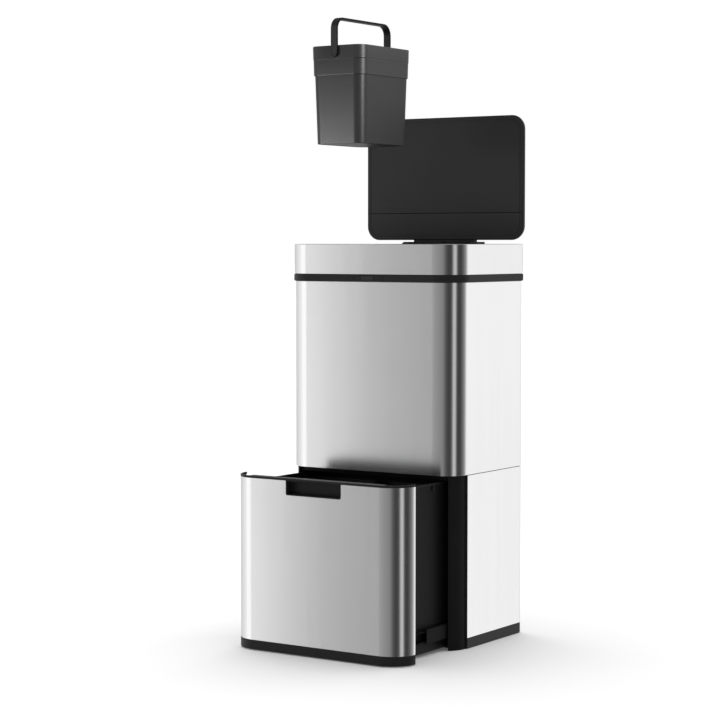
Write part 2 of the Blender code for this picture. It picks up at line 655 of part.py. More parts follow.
def make_lid():
    """A shallow plastic shell with a steel sheet on its back and two panels inside."""
    face, back, wall = LID_FACE_Y, LID_BACK_Y, LID_WALL
    loops = lid_shell_loops(0, 0.0004) + lid_shell_loops(wall, 0)[::-1]
    shell = loft("lid_shell", loops, "lid_plastic", LID_ORIGIN)
    notch_x, notch_y = ARM_HALF_W + 0.0006, back - wall - 0.0002
    notch_top = LID_BOTTOM + 0.0088
    cut(shell, block("shell_notch", -notch_x, notch_x, 0.1, notch_y, HEAD_TOP, notch_top, None))
    edge = 0.0105
    loops = [
        lid_outline(edge, back + 0.0003), lid_outline(edge, back + 0.0008),
        lid_outline(edge + 0.0005, back + SHEET),
    ]
    loft("lid_skin", loops, "steel", LID_ORIGIN)

    inset, depth = wall + GAP, 0.0030
    outline = [(x, z) for x, y, z in lid_outline(inset, 0)]
    panel = extrude("lid_inner_panel", outline, face, face + depth, "lid_plastic", "y", LID_ORIGIN)
    cut(panel, block("panel_cut", -FAR, FAR, 0.1, FAR, 0, LID_SEAM_Z + 0.0003, None))
    cover = extrude("lid_hinge_cover", outline, face, face + depth, "lid_plastic", "y", LID_ORIGIN)
    cut(cover, block("cover_cut", -FAR, FAR, 0.1, FAR, LID_SEAM_Z - 0.0003, LID_TOP + 0.1, None))

    knuckle = arc(HINGE_Y, HINGE_Z, 0.0070, 100, 350, 14)
    neck_back, neck_top, step_z = notch_y - 0.0003, 0.8700, LID_BOTTOM + 0.0007
    neck = [
        (neck_back, HINGE_Z), (neck_back, neck_top), (face + depth + 0.0006, neck_top),
        (face + depth + 0.0006, step_z), (face + 0.0003, step_z), (face + 0.0003, HINGE_Z + 0.0085),
    ]
    arm = extrude("lid_arm", knuckle + neck, -ARM_HALF_W, ARM_HALF_W, "black_plastic", "x", LID_ORIGIN)
    slot = block("arm_gear_slot", -0.0048, 0.0048, 0.1, HINGE_Y + 0.015, FAR, HINGE_Z + 0.015, None)
    bore = extrude("arm_pin_bore", circle(HINGE_Y, HINGE_Z, PIN_BORE_R), -FAR, FAR, None, "x")
    cut(arm, slot, bore)

    first, count = -10, 12
    start = math.radians(-90)
    teeth = gear_outline(SECTOR_TEETH, first, count, start, HINGE_Y, HINGE_Z, 0.0008)
    hub = arc(HINGE_Y, HINGE_Z, 0.0060, -70, 150, 10)
    extrude("sector_gear", teeth + hub, -0.0040, 0.0040, "gear_plastic", "x", LID_ORIGIN)


# ---- Caddy -------------------------------------------------------------------------------
CADDY_ORIGIN = (CADDY_X, CADDY_Y, CADDY_BASE_Z)


def caddy_loop(half_x, half_y, radius, z):
    return bucket_loop(CADDY_X - half_x, CADDY_X + half_x, CADDY_Y - half_y, CADDY_Y + half_y,
                       radius, z, 6)


def make_caddy():
    skirt_z, band_z, wall = 1.1590, 1.1900, 0.002
    loops = [
        caddy_loop(0.0567, 0.0845, 0.0185, CADDY_BASE_Z),
        caddy_loop(0.0582, 0.0860, 0.0200, CADDY_BASE_Z + 0.0015),
        caddy_loop(0.0616, 0.0910, 0.0212, skirt_z + 0.0010),
        caddy_loop(0.0633, 0.0926, 0.0222, skirt_z),
        caddy_loop(0.0641, 0.0936, 0.0226, band_z),
        caddy_loop(0.0646, 0.0941, 0.0228, band_z + 0.0006),
        caddy_loop(0.0652, 0.0948, 0.0230, CADDY_RIM_Z),
        caddy_loop(0.0628, 0.0924, 0.0206, CADDY_RIM_Z),
        caddy_loop(0.0600, 0.0892, 0.0190, skirt_z),
        caddy_loop(0.0564, 0.0842, 0.0180, CADDY_BASE_Z + wall),
    ]
    body = loft("caddy_body", loops, "caddy_plastic", CADDY_ORIGIN)
    for end in (-1, 1):
        y0, y1 = sorted((CADDY_Y + end * 0.0905, CADDY_Y + end * 0.0973))
        boss = extrude("caddy_boss", circle(CADDY_X, CADDY_PIVOT_Z, 0.0040), y0, y1, None, "y")
        add(body, boss)


def make_caddy_handle():
    """A flat strap from the front face to the rear face, turning on the two bosses."""
    reach, thick, half_w, bend = 0.0999, 0.0045, 0.0079, 0.0240
    top = HANDLE_TOP_Z
    low = CADDY_PIVOT_Z - half_w

    def strap(edge, crown, radius):
        right = arc(CADDY_Y + edge - radius, crown - radius, radius, 0, 90, 8)
        left = arc(CADDY_Y - edge + radius, crown - radius, radius, 90, 180, 8)
        return [(CADDY_Y + edge, low)] + right + left + [(CADDY_Y - edge, low)]

    outline = strap(reach, top, bend) + strap(reach - thick, top - thick, bend - thick)[::-1]
    x0, x1 = CADDY_X - half_w, CADDY_X + half_w
    origin = (CADDY_X, CADDY_Y, CADDY_PIVOT_Z)
    handle = extrude("caddy_handle", outline, x0, x1, "caddy_plastic", "x", origin)
    tips = arc(CADDY_X, CADDY_PIVOT_Z, half_w + 0.00001, 180, 360, 12)
    outline = tips + [(x1 + 0.00001, top + 0.01), (x0 - 0.00001, top + 0.01)]
    modify(handle, extrude("handle_tips", outline, -FAR, FAR, None, "y"), "INTERSECT")
    for end in (-1, 1):
        y0, y1 = sorted((CADDY_Y + end * 0.0905, CADDY_Y + end * 0.0977))
        cut(handle, extrude("handle_bore", circle(CADDY_X, CADDY_PIVOT_Z, 0.0044), y0, y1, None, "y"))


def main():
    clear_scene()
    make_plinth()
    make_lower_shell()
    make_front_frame()
    make_divider_deck()
    make_upper_shell()
    make_inner_bucket()
    make_drawer_front()
    make_drawer_chassis()
    make_recycling_bucket("recycling_bucket_left", -0.1640, -0.0010)
    make_recycling_bucket("recycling_bucket_right", 0.0010, 0.1640)
    make_slides()
    make_head_ring()
    make_collar()
    make_head_frame()
    make_hinge_housing()
    make_drive()
    make_electronics()
    make_batteries()
    make_rear_cover()
    make_controls()
    make_lid()
    make_caddy()
    make_caddy_handle()


main()
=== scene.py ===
import json
import math

import bmesh
import bpy
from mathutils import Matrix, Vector


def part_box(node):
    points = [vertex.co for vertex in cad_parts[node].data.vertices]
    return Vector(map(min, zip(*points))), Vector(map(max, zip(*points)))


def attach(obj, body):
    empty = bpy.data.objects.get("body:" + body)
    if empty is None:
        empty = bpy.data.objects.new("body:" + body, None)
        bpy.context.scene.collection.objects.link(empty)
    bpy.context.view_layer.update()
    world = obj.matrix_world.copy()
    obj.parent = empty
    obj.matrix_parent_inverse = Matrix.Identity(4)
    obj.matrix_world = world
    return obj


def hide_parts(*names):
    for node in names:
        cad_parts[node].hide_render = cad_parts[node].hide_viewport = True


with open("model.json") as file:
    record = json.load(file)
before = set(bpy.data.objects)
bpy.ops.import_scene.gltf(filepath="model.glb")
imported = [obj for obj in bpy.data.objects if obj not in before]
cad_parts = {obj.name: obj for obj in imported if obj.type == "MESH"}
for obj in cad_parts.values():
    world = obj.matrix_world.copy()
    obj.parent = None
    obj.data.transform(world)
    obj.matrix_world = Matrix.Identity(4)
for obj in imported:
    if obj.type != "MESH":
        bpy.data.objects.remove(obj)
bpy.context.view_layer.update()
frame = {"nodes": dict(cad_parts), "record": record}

NODES = frame["nodes"]
SUBPARTS = frame["record"]["subparts"]
BODIES = frame["record"]["behaviour"]["bodies"]
SLOT_OF = {part["node"]: part["material_slot"] for part in SUBPARTS}
BODY_OF = {node: body for body, members in BODIES.items() for node in members}

# Camera: the photographed angle, in the shared frame.
CAMERA_PLACE = (2.3590, -3.6998, 0.8222)
CAMERA_PITCH = 86.889
CAMERA_TURN = 33.848
CAMERA_LENS = 105.57

# Studio: the floor, the overhead light and one glowing board.
FLOOR_SIZE = 60.0
FLOOR_DROP = 0.0005
FLOOR_SHADE = 0.60
FLOOR_GLOW = 0.08
SKY_POWER = 4.1
SKY_SPREAD = 80
SKY_TILT = (-14, -8)
CARD_EDGE = (-2.72, -3.93)
CARD_ACROSS = Vector((-2.1, 1.4, 0.0))
CARD_LOW, CARD_HIGH = -2.5, 3.2
CARD_GLOW = 1.42
# Brightness of the studio walls, by compass angle from the front towards the right.
WALL = [(-180, 0.55), (-120, 0.75), (-62, 1.25), (-47, 1.25), (-43, 0.42), (-30, 0.46), (-10, 0.38),
        (20, 0.30), (33, 0.11), (44, 0.06), (60, 0.06), (68, 0.75), (77, 0.75), (83, 0.05),
        (102, 0.06), (116, 0.18), (131, 0.45), (142, 1.30), (180, 0.95)]
# Above these heights on the unit sphere, the walls fade into a ceiling of even brightness.
CEILING_START, CEILING_END = 0.35, 0.75
CEILING_GLOW = 0.35

# The case's plan outline, and how the sheet steel is made.
CASE_LOW, CASE_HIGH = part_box("upper_shell")
CORNER_R = 0.052
REAR_R = 0.012
SHEET = 0.0012
SCREW_X = 0.15
SCREW_HEIGHTS = (0.034, 0.335)
FRONT_Y = -0.5            # where cuts from the front begin, well in front of the object

# The lid: its corner radius, its wall, and how far its side curves in.
LID_R = 0.030
LID_WALL = 0.0015
LID_TURN = 0.010

# The caddy's pivots: how high they are above the strap's lowest point, and their radii.
PIVOT_RISE = 0.0079
BOSS_R = 0.0040
BORE_R = 0.0044

# How smoothly things are drawn.
STEPS = 20                # segments in a rounded corner
PIVOT_STEPS = 24          # segments round a pivot or a screw
BUTTON_STEPS = 32         # segments round a button
SHARP = 35                # degrees: a steeper edge is drawn sharp
BEVEL_ANGLE = 40          # degrees: a steeper edge is rounded


# ---- Outlines ----------------------------------------------------------------------------
def arc(cx, cy, radius, start, end, steps=STEPS):
    """Points on an arc, angles in degrees, both ends included."""
    angles = [math.radians(start + (end - start) * i / steps) for i in range(steps + 1)]
    return [(cx + radius * math.cos(a), cy + radius * math.sin(a)) for a in angles]


def circle(cx, cy, radius, steps):
    """Points round a full circle, each once."""
    return arc(cx, cy, radius, 0, 360 - 360 / steps, steps - 1)


def rounded(x0, x1, y0, y1, near_r, far_r=None, steps=STEPS):
    """A rectangle whose corners at y0 have near_r and whose corners at y1 have far_r."""
    far = near_r if far_r is None else far_r
    return (
        arc(x1 - near_r, y0 + near_r, near_r, -90, 0, steps)
        + arc(x1 - far, y1 - far, far, 0, 90, steps)
        + arc(x0 + far, y1 - far, far, 90, 180, steps)
        + arc(x0 + near_r, y0 + near_r, near_r, 180, 270, steps)
    )


def face_outline(low, high, inset, low_r, high_r=None):
    """A box's outline seen from the front, in (x, z), moved inwards by inset."""
    return rounded(low.x + inset, high.x - inset, low.z + inset, high.z - inset, low_r, high_r)


def case_outline(offset):
    """The case outline, moved outwards by offset."""
    return rounded(
        CASE_LOW.x - offset, CASE_HIGH.x + offset, CASE_LOW.y - offset, CASE_HIGH.y + offset,
        CORNER_R + offset, REAR_R + offset,
    )


def front_outline(offset, shift):
    """The wrapped front of the case outline, left end to right end, moved by shift along Y."""
    radius = CORNER_R + offset
    centre_y = CASE_LOW.y + CORNER_R + shift
    left = arc(CASE_LOW.x + CORNER_R, centre_y, radius, 180, 270)
    return left + arc(CASE_HIGH.x - CORNER_R, centre_y, radius, 270, 360)


def round_corners(points, radii, steps):
    """A closed 2-D outline with its corners rounded, all by one radius or each by its own."""
    made = []
    count = len(points)
    for i, point in enumerate(points):
        here = Vector(point)
        before = Vector(points[i - 1]) - here
        after = Vector(points[(i + 1) % count]) - here
        radius = radii[i] if isinstance(radii, list) else radii
        half = before.angle(after) / 2
        reach = min(radius / math.tan(half), before.length * 0.49, after.length * 0.49)
        start = here + before.normalized() * reach
        end = here + after.normalized() * reach
        for k in range(steps + 1):
            t = k / steps
            made.append(tuple(start * (1 - t) ** 2 + here * 2 * t * (1 - t) + end * t ** 2))
    return made


def level(outline, z):
    return [(x, y, z) for x, y in outline]


def upright(outline, y):
    return [(x, y, z) for x, z in outline]


# ---- Mesh building -----------------------------------------------------------------------
def make_piece(name, points, faces, sharp):
    mesh = bpy.data.meshes.new(name)
    mesh.from_pydata([tuple(p) for p in points], [], faces)
    work = bmesh.new()
    work.from_mesh(mesh)
    bmesh.ops.remove_doubles(work, verts=work.verts, dist=0.000005)
    bmesh.ops.recalc_face_normals(work, faces=work.faces)
    work.to_mesh(mesh)
    work.free()
    mesh.shade_smooth()
    mesh.set_sharp_from_angle(angle=math.radians(sharp))
    piece = bpy.data.objects.new(name, mesh)
    bpy.context.scene.collection.objects.link(piece)
    return piece


def loft(name, loops, closed=False, sharp=SHARP):
    """Bridges equal loops. Ends are capped, or joined to each other if closed."""
    count = len(loops[0])
    points = [p for loop in loops for p in loop]
    faces = []
    for i in range(len(loops) if closed else len(loops) - 1):
        a, b = i * count, ((i + 1) % len(loops)) * count
        for k in range(count):
            n = (k + 1) % count
            faces.append((a + k, a + n, b + n, b + k))
    if not closed:
        faces.append(tuple(range(count)))
        faces.append(tuple(range((len(loops) - 1) * count, len(loops) * count)))
    return make_piece(name, points, faces, sharp)


def extrude(name, outline, low, high, axis="z"):
    """A prism. The outline is in (x, y) for axis z, and in (x, z) for axis y."""
    place = level if axis == "z" else upright
    return loft(name, [place(outline, low), place(outline, high)])


def block(name, low, high):
    outline = [(low[0], low[1]), (high[0], low[1]), (high[0], high[1]), (low[0], high[1])]
    return extrude(name, outline, low[2], high[2])


def turned(name, x, z, rings, steps, sharp=SHARP):
    """A round piece about an axis along Y, from its (radius, y) rings."""
    return loft(name, [upright(circle(x, z, radius, steps), y) for radius, y in rings], sharp=sharp)


def case_band(name, profile, radii, steps):
    """A ring round the case from its (offset, z) cross-section."""
    section = round_corners(profile, radii, steps)
    return loft(name, [level(case_outline(offset), z) for offset, z in section], closed=True)


def front_band(name, profile, shift, radii, steps):
    """A strip along the wrapped front from its (offset, z) cross-section."""
    section = round_corners(profile, radii, steps)
    rings = [level(front_outline(offset, shift), z) for offset, z in section]
    across = [[ring[k] for ring in rings] for k in range(len(rings[0]))]
    return loft(name, across)


def bake(piece):
    """Applies the piece's modifiers."""
    graph = bpy.context.evaluated_depsgraph_get()
    mesh = bpy.data.meshes.new_from_object(piece.evaluated_get(graph))
    piece.modifiers.clear()
    old, piece.data = piece.data, mesh
    bpy.data.meshes.remove(old)


def combine(piece, tools, operation):
    """Joins the tools to the piece or cuts them from it, and removes them."""
    for tool in tools:
        change = piece.modifiers.new(operation, "BOOLEAN")
        change.operation = operation
        change.object = tool
        change.solver = "EXACT"
    bpy.context.view_layer.update()
    bake(piece)
    piece.data.set_sharp_from_angle(angle=math.radians(SHARP))
    for tool in tools:
        bpy.data.objects.remove(tool, do_unlink=True)


def carve(piece, *tools):
    combine(piece, tools, "DIFFERENCE")


def weld(piece, *tools):
    combine(piece, tools, "UNION")


def soften(piece, width, segments=3):
    """Rounds the sharp edges."""
    change = piece.modifiers.new("bevel", "BEVEL")
    change.width = width
    change.segments = segments
    change.limit_method = "ANGLE"
    change.angle_limit = math.radians(BEVEL_ANGLE)
    change.use_clamp_overlap = True
    return piece


def refine(node, width, segments=2):
    """A copy of a CAD node's solid with rounded edges."""
    mesh = NODES[node].data.copy()
    mesh.name = node + "_fine"
    work = bmesh.new()
    work.from_mesh(mesh)
    bmesh.ops.remove_doubles(work, verts=work.verts, dist=0.00001)
    flat = math.radians(1)
    bmesh.ops.dissolve_limit(work, angle_limit=flat, verts=work.verts, edges=work.edges)
    work.to_mesh(mesh)
    work.free()
    mesh.shade_smooth()
    mesh.set_sharp_from_angle(angle=math.radians(SHARP))
    piece = bpy.data.objects.new(node + "_fine", mesh)
    bpy.context.scene.collection.objects.link(piece)
    return soften(piece, width, segments)


# ---- Node helpers ------------------------------------------------------------------------
class Nodes:
    """A node tree, with short calls for the nodes that materials and the world share."""

    def __init__(self, tree):
        self.tree = tree

    def add(self, kind):
        return self.tree.nodes.new(kind)

    def put(self, socket, value):
        """Links an output to a socket, or sets the socket's own value."""
        if isinstance(value, bpy.types.NodeSocket):
            self.tree.links.new(value, socket)
        else:
            socket.default_value = value

    def maths(self, kind, *values):
        node = self.add("ShaderNodeMath")
        node.operation = kind
        for socket, value in zip(node.inputs, values):
            self.put(socket, value)
        return node.outputs[0]

    def ramp(self, value, low, high, out_low, out_high):
        """Turns low to high into out_low to out_high, and holds the ends."""
        node = self.add("ShaderNodeMapRange")
        ends = {"From Min": low, "From Max": high, "To Min": out_low, "To Max": out_high}
        for name, end in ends.items():
            node.inputs[name].default_value = end
        self.put(node.inputs["Value"], value)
        return node.outputs["Result"]


class Shader(Nodes):
    """The node tree of a new material."""

    def __init__(self, name):
        self.material = bpy.data.materials.new(name)
        self.material.use_nodes = True
        super().__init__(self.material.node_tree)
        self.main = self.tree.nodes["Principled BSDF"]
        self.place = self.add("ShaderNodeTexCoord").outputs["Object"]

    def set(self, **values):
        """Sets the main shader's sockets by name, with _ for a space."""
        for name, value in values.items():
            self.put(self.main.inputs[name.replace("_", " ")], value)

    def stretch(self, scale):
        node = self.add("ShaderNodeMapping")
        node.inputs["Scale"].default_value = scale
        self.put(node.inputs["Vector"], self.place)
        return node.outputs["Vector"]

    def noise(self, scale, detail, rough, vector=None):
        node = self.add("ShaderNodeTexNoise")
        node.inputs["Scale"].default_value = scale
        node.inputs["Detail"].default_value = detail
        node.inputs["Roughness"].default_value = rough
        self.put(node.inputs["Vector"], vector or self.place)
        return node.outputs["Fac"]

    def mix(self, fac, a, b):
        node = self.add("ShaderNodeMix")
        node.data_type = "RGBA"
        self.put(node.inputs[0], fac)
        self.put(node.inputs[6], a)
        self.put(node.inputs[7], b)
        return node.outputs[2]

    def edge(self, strength):
        """strength on convex edges and 0 on flats: the mask of the painted edge highlight."""
        node = self.add("ShaderNodeNewGeometry")
        convex = self.ramp(node.outputs["Pointiness"], 0.51, 0.58, 0.0, 1.0)
        return self.maths("MULTIPLY", convex, strength)

    def bump(self, height, strength, distance):
        node = self.add("ShaderNodeBump")
        node.inputs["Strength"].default_value = strength
        node.inputs["Distance"].default_value = distance
        self.put(node.inputs["Height"], height)
        self.put(self.main.inputs["Normal"], node.outputs["Normal"])


def grey(value):
    return (value, value, value, 1.0)


def scaled(colour, factor, lift=0.0):
    return [min(1.0, c * factor + lift) for c in colour[:3]] + [1.0]


# ---- Materials ---------------------------------------------------------------------------
# Steels: brightness, roughness, and how strongly the brushing shows.
STEELS = {
    "brushed_steel": (0.70, 0.185, 0.022),
    "zinc_steel": (0.5, 0.32, 0.05),
}

# Plastics and coatings: colour, roughness, height and fineness of the grain, and shine.
PLASTICS = {
    "coated_steel": (grey(0.005), 0.42, 0.04, 900, 0.04),
    "black_plastic": (grey(0.017), 0.42, 0.08, 1500, 0.12),
    "dark_plastic": (grey(0.009), 0.50, 0.08, 1500, 0.08),
    "lid_plastic": (grey(0.020), 0.48, 0.08, 1500, 0.25),
    "caddy_plastic": (grey(0.006), 0.37, 0.12, 1100, 0.09),
    "bucket_plastic": (grey(0.022), 0.50, 0.08, 1500, 0.25),
    "gear_plastic": ((0.70, 0.68, 0.60, 1), 0.40, 0.08, 1500, 0.5),
    "circuit_board": ((0.02, 0.13, 0.05, 1), 0.35, 0.08, 1500, 0.5),
    "battery_jacket": ((0.08, 0.14, 0.28, 1), 0.30, 0.08, 1500, 0.5),
    "window_plastic": (grey(0.012), 0.20, 0.02, 1500, 0.35),
    "button_rubber": (grey(0.014), 0.60, 0.2, 1500, 0.25),
}


def brushed_steel(name, value, rough, streaks):
    """Satin steel with fine vertical brushing in its colour, roughness and height, and a painted
    highlight that lightens its convex edges.
    """
    s = Shader(name)
    fine = s.noise(1.0, 2.0, 0.5, s.stretch((2200, 2200, 14)))
    broad = s.noise(1.0, 2.0, 0.5, s.stretch((60, 60, 1.5)))
    dust = s.noise(18, 4.0, 0.6)
    streak = s.maths("ADD", s.maths("MULTIPLY", fine, 0.6), s.maths("MULTIPLY", broad, 0.4))
    dark, light = grey(value * (1 - streaks)), grey(value * (1 + streaks))
    plain = s.mix(s.ramp(streak, 0.35, 0.65, 0, 1), dark, light)
    # Painted highlight: convex edges get a lighter colour, as if they caught the light.
    painted_edge_highlight = s.mix(s.edge(0.25), plain, grey(min(1, value * 1.15)))
    brushing = s.ramp(streak, 0.3, 0.7, rough - 0.008, rough + 0.008)
    spread = s.maths("ADD", brushing, s.ramp(dust, 0.3, 0.8, 0, 0.012))
    s.set(Base_Color=painted_edge_highlight, Metallic=1.0, Roughness=spread)
    s.bump(fine, 0.02, 0.0001)
    return s.material


def moulded_plastic(name, colour, rough, grain, grain_size, shine):
    """Moulded plastic: spark-eroded grain, faint mottling, and a painted highlight that lightens
    convex edges.
    """
    s = Shader(name)
    grains = s.noise(grain_size, 3.0, 0.6)
    cloud = s.noise(9, 3.0, 0.55)
    base = s.mix(s.ramp(cloud, 0.3, 0.7, 0, 1), scaled(colour, 0.92), scaled(colour, 1.08))
    # Painted highlight: convex edges get a lighter colour, as if they caught the light.
    painted_edge_highlight = s.mix(s.edge(0.30), base, scaled(colour, 1.6, 0.006))
    spread = s.ramp(grains, 0.3, 0.7, rough - 0.04, rough + 0.06)
    s.set(Base_Color=painted_edge_highlight, Roughness=spread, Specular_IOR_Level=shine)
    s.bump(grains, grain, 0.0002)
    return s.material


def make_materials():
    """One look for each of the record's material slots."""
    looks = {slot: brushed_steel(slot + "_look", *values) for slot, values in STEELS.items()}
    for slot, values in PLASTICS.items():
        looks[slot] = moulded_plastic(slot + "_look", *values)
    return looks


def paint_nodes():
    """Gives every CAD node the look of its slot."""
    for name, node in NODES.items():
        node.data.materials.clear()
        node.data.materials.append(LOOKS[SLOT_OF[name]])


# ---- Stage -------------------------------------------------------------------------------
def make_camera():
    data = bpy.data.cameras.new("photo_camera")
    data.lens = CAMERA_LENS
    data.sensor_width = 36.0
    camera = bpy.data.objects.new("photo_camera", data)
    camera.location = CAMERA_PLACE
    camera.rotation_euler = (math.radians(CAMERA_PITCH), 0, math.radians(CAMERA_TURN))
    bpy.context.scene.collection.objects.link(camera)
    bpy.context.scene.camera = camera


def make_board(name, corners, shade, glow, rough=0.5):
    """A flat, softly glowing board of the studio."""
    mesh = bpy.data.meshes.new(name)
    mesh.from_pydata(corners, [], [(0, 1, 2, 3)])
    board = bpy.data.objects.new(name, mesh)
    bpy.context.scene.collection.objects.link(board)
    s = Shader(name + "_look")
    s.set(Base_Color=grey(shade), Roughness=rough, Specular_IOR_Level=0.0,
          Emission_Color=grey(1.0), Emission_Strength=glow)
    mesh.materials.append(s.material)
    return board


def make_floor():
    """White paper: a little of its brightness does not depend on the shadows."""
    size = FLOOR_SIZE
    corners = [(-size, -size, 0), (size, -size, 0), (size, size, 0), (-size, size, 0)]
    floor = make_board("studio_floor", corners, FLOOR_SHADE, FLOOR_GLOW, 0.9)
    floor.location.z = -FLOOR_DROP
    floor.visible_glossy = False


def make_card():
    """A tall board beside the camera, which the steel mirrors. The camera can't see it."""
    low, high = Vector((*CARD_EDGE, CARD_LOW)), Vector((*CARD_EDGE, CARD_HIGH))
    corners = [low, high, high + CARD_ACROSS, low + CARD_ACROSS]
    card = make_board("left_card", corners, 0.0, CARD_GLOW)
    card.visible_camera = False
    card.visible_shadow = False


def wall_brightness(n, way):
    """The walls' brightness in the direction whose parts come out of way."""
    turn = n.maths("ARCTAN2", way.outputs[0], n.maths("MULTIPLY", way.outputs[1], -1.0))
    ramp = n.add("ShaderNodeValToRGB")
    n.put(ramp.inputs[0], n.maths("MULTIPLY_ADD", turn, 1 / (2 * math.pi), 0.5))
    stops = ramp.color_ramp.elements
    peak = max(value for angle, value in WALL)
    made = [stops.new(angle / 360 + 0.5) for angle, value in WALL[1:-1]]
    for stop, (angle, value) in zip([stops[0], *made, stops[-1]], WALL):
        stop.color = grey(value / peak)
    return n.maths("MULTIPLY", ramp.outputs[0], peak)


def make_world():
    """Soft studio walls: a big box left, dark flags at the corner's angles, white to the right."""
    world = bpy.data.worlds.new("studio")
    bpy.context.scene.world = world
    world.use_nodes = True
    n = Nodes(world.node_tree)
    n.tree.nodes.clear()
    way = n.add("ShaderNodeSeparateXYZ")
    n.put(way.inputs[0], n.add("ShaderNodeTexCoord").outputs["Generated"])
    room = n.add("ShaderNodeMix")
    n.put(room.inputs[0], n.ramp(way.outputs[2], CEILING_START, CEILING_END, 0.0, 1.0))
    n.put(room.inputs[2], wall_brightness(n, way))
    n.put(room.inputs[3], CEILING_GLOW)
    light = n.add("ShaderNodeBackground")
    n.put(light.inputs["Color"], room.outputs[0])
    paper = n.add("ShaderNodeBackground")
    n.put(paper.inputs["Color"], grey(1.0))
    both = n.add("ShaderNodeMixShader")
    n.put(both.inputs[0], n.add("ShaderNodeLightPath").outputs["Is Camera Ray"])
    n.put(both.inputs[1], light.outputs[0])
    n.put(both.inputs[2], paper.outputs[0])
    n.put(n.add("ShaderNodeOutputWorld").inputs[0], both.outputs[0])


def make_sky():
    """A broad, even light from above, which the steel does not mirror."""
    data = bpy.data.lights.new("overhead_sky", "SUN")
    data.energy = SKY_POWER
    data.angle = math.radians(SKY_SPREAD)
    light = bpy.data.objects.new("overhead_sky", data)
    light.rotation_euler = (math.radians(SKY_TILT[0]), math.radians(SKY_TILT[1]), 0)
    light.visible_glossy = False
    bpy.context.scene.collection.objects.link(light)


def make_lamp(name, place, aim, size, power, receiver):
    """A soft box that lights only the given piece."""
    data = bpy.data.lights.new(name, "AREA")
    data.shape = "RECTANGLE"
    data.size, data.size_y = size
    data.energy = power
    lamp = bpy.data.objects.new(name, data)
    lamp.location = place
    lamp.rotation_euler = (Vector(aim) - Vector(place)).to_track_quat("-Z", "Y").to_euler()
    lamp.visible_camera = False
    bpy.context.scene.collection.objects.link(lamp)
    lit = bpy.data.collections.new(name + "_pieces")
    lit.objects.link(receiver)
    lamp.light_linking.receiver_collection = lit


def light_caddy(tub, strap):
    """The caddy's own lamps: low left, right, behind to the right, and in front for the strap."""
    make_lamp("caddy_low_box", (-0.55, -0.78, 0.85), (-0.06, -0.22, 1.04), (0.30, 0.26), 24.0, tub)
    make_lamp("caddy_side_box", (1.20, -0.45, 1.55), (0.04, -0.22, 1.20), (0.30, 0.8), 100.0, tub)
    make_lamp("caddy_back_box", (0.55, 0.60, 1.60), (0.04, -0.13, 1.20), (0.5, 0.3), 5.0, tub)
    make_lamp("caddy_front_box", (-0.3, -1.6, 1.6), (0, -0.13, 1.25), (0.8, 0.8), 25.0, strap)


def make_studio():
    make_floor()
    make_world()
    make_sky()
    make_card()
    bpy.context.scene.view_settings.view_transform = "Standard"


# ---- Finishing a piece -------------------------------------------------------------------
def finish(piece, body, slot, *nodes):
    """Gives a piece its look and its body, and hides the CAD nodes that it stands for."""
    shading = piece.modifiers.new("normals", "WEIGHTED_NORMAL")
    shading.keep_sharp = True
    shading.weight = 100
    piece.data.materials.clear()
    piece.data.materials.append(LOOKS[slot])
    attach(piece, body)
    if nodes:
        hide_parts(*nodes)


def finish_as(piece, node):
    """Lets a piece stand for one CAD node, in that node's look and on its body."""
    finish(piece, BODY_OF[node], SLOT_OF[node], node)


def refined(node, width, segments=2):
    """Replaces a CAD node by its own solid with rounded edges."""
    finish_as(refine(node, width, segments), node)


# ---- Case --------------------------------------------------------------------------------
def make_case():
    low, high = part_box("upper_shell")
    wall = [(0, low.z), (0, high.z), (-SHEET, high.z), (-SHEET, low.z)]
    finish_as(case_band("upper_case_sheet", wall, 0.0005, 3), "upper_shell")

    low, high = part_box("lower_case_shell")
    inner_r = REAR_R - SHEET
    outline = (
        [(high.x, low.y)]
        + arc(high.x - REAR_R, high.y - REAR_R, REAR_R, 0, 90)
        + arc(low.x + REAR_R, high.y - REAR_R, REAR_R, 90, 180)
        + [(low.x, low.y), (low.x + SHEET, low.y)]
        + arc(low.x + REAR_R, high.y - REAR_R, inner_r, 180, 90)
        + arc(high.x - REAR_R, high.y - REAR_R, inner_r, 90, 0)
        + [(high.x - SHEET, low.y)]
    )
    shell = soften(extrude("lower_case_sheet", outline, low.z, high.z), 0.0004, 2)
    finish_as(shell, "lower_case_shell")
    refined("front_frame", 0.0010, 3)
    refined("base_plinth", 0.0012, 3)
    refined("inner_bucket", 0.0007)


def make_screw(name, x, z, seat_y):
    """A pan-head screw in the rear of the case, with a cross recess turned by 20 degrees."""
    rings = [
        (0.0001, seat_y - 0.001), (0.0038, seat_y - 0.001), (0.0038, seat_y + 0.0004),
        (0.0034, seat_y + 0.0011), (0.0022, seat_y + 0.0016),
    ]
    head = turned(name, x, z, rings, PIVOT_STEPS)
    half_long, half_wide = 0.0024, 0.00035
    for angle in (20, 110):
        c, s = math.cos(math.radians(angle)), math.sin(math.radians(angle))
        corners = [(half_long, half_wide), (-half_long, half_wide),
                   (-half_long, -half_wide), (half_long, -half_wide)]
        slot = [(x + u * c - v * s, z + u * s + v * c) for u, v in corners]
        carve(head, extrude("slot", slot, seat_y + 0.0009, seat_y + 0.01, "y"))
    finish(head, "case", "zinc_steel")


def make_case_screws():
    """The screws that hold the rear of the sheet to the plinth and the deck."""
    seat_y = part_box("lower_case_shell")[1].y
    places = [(x, z) for z in SCREW_HEIGHTS for x in (-SCREW_X, SCREW_X)]
    for number, (x, z) in enumerate(places):
        make_screw("case_screw_%d" % (number + 1), x, z, seat_y)


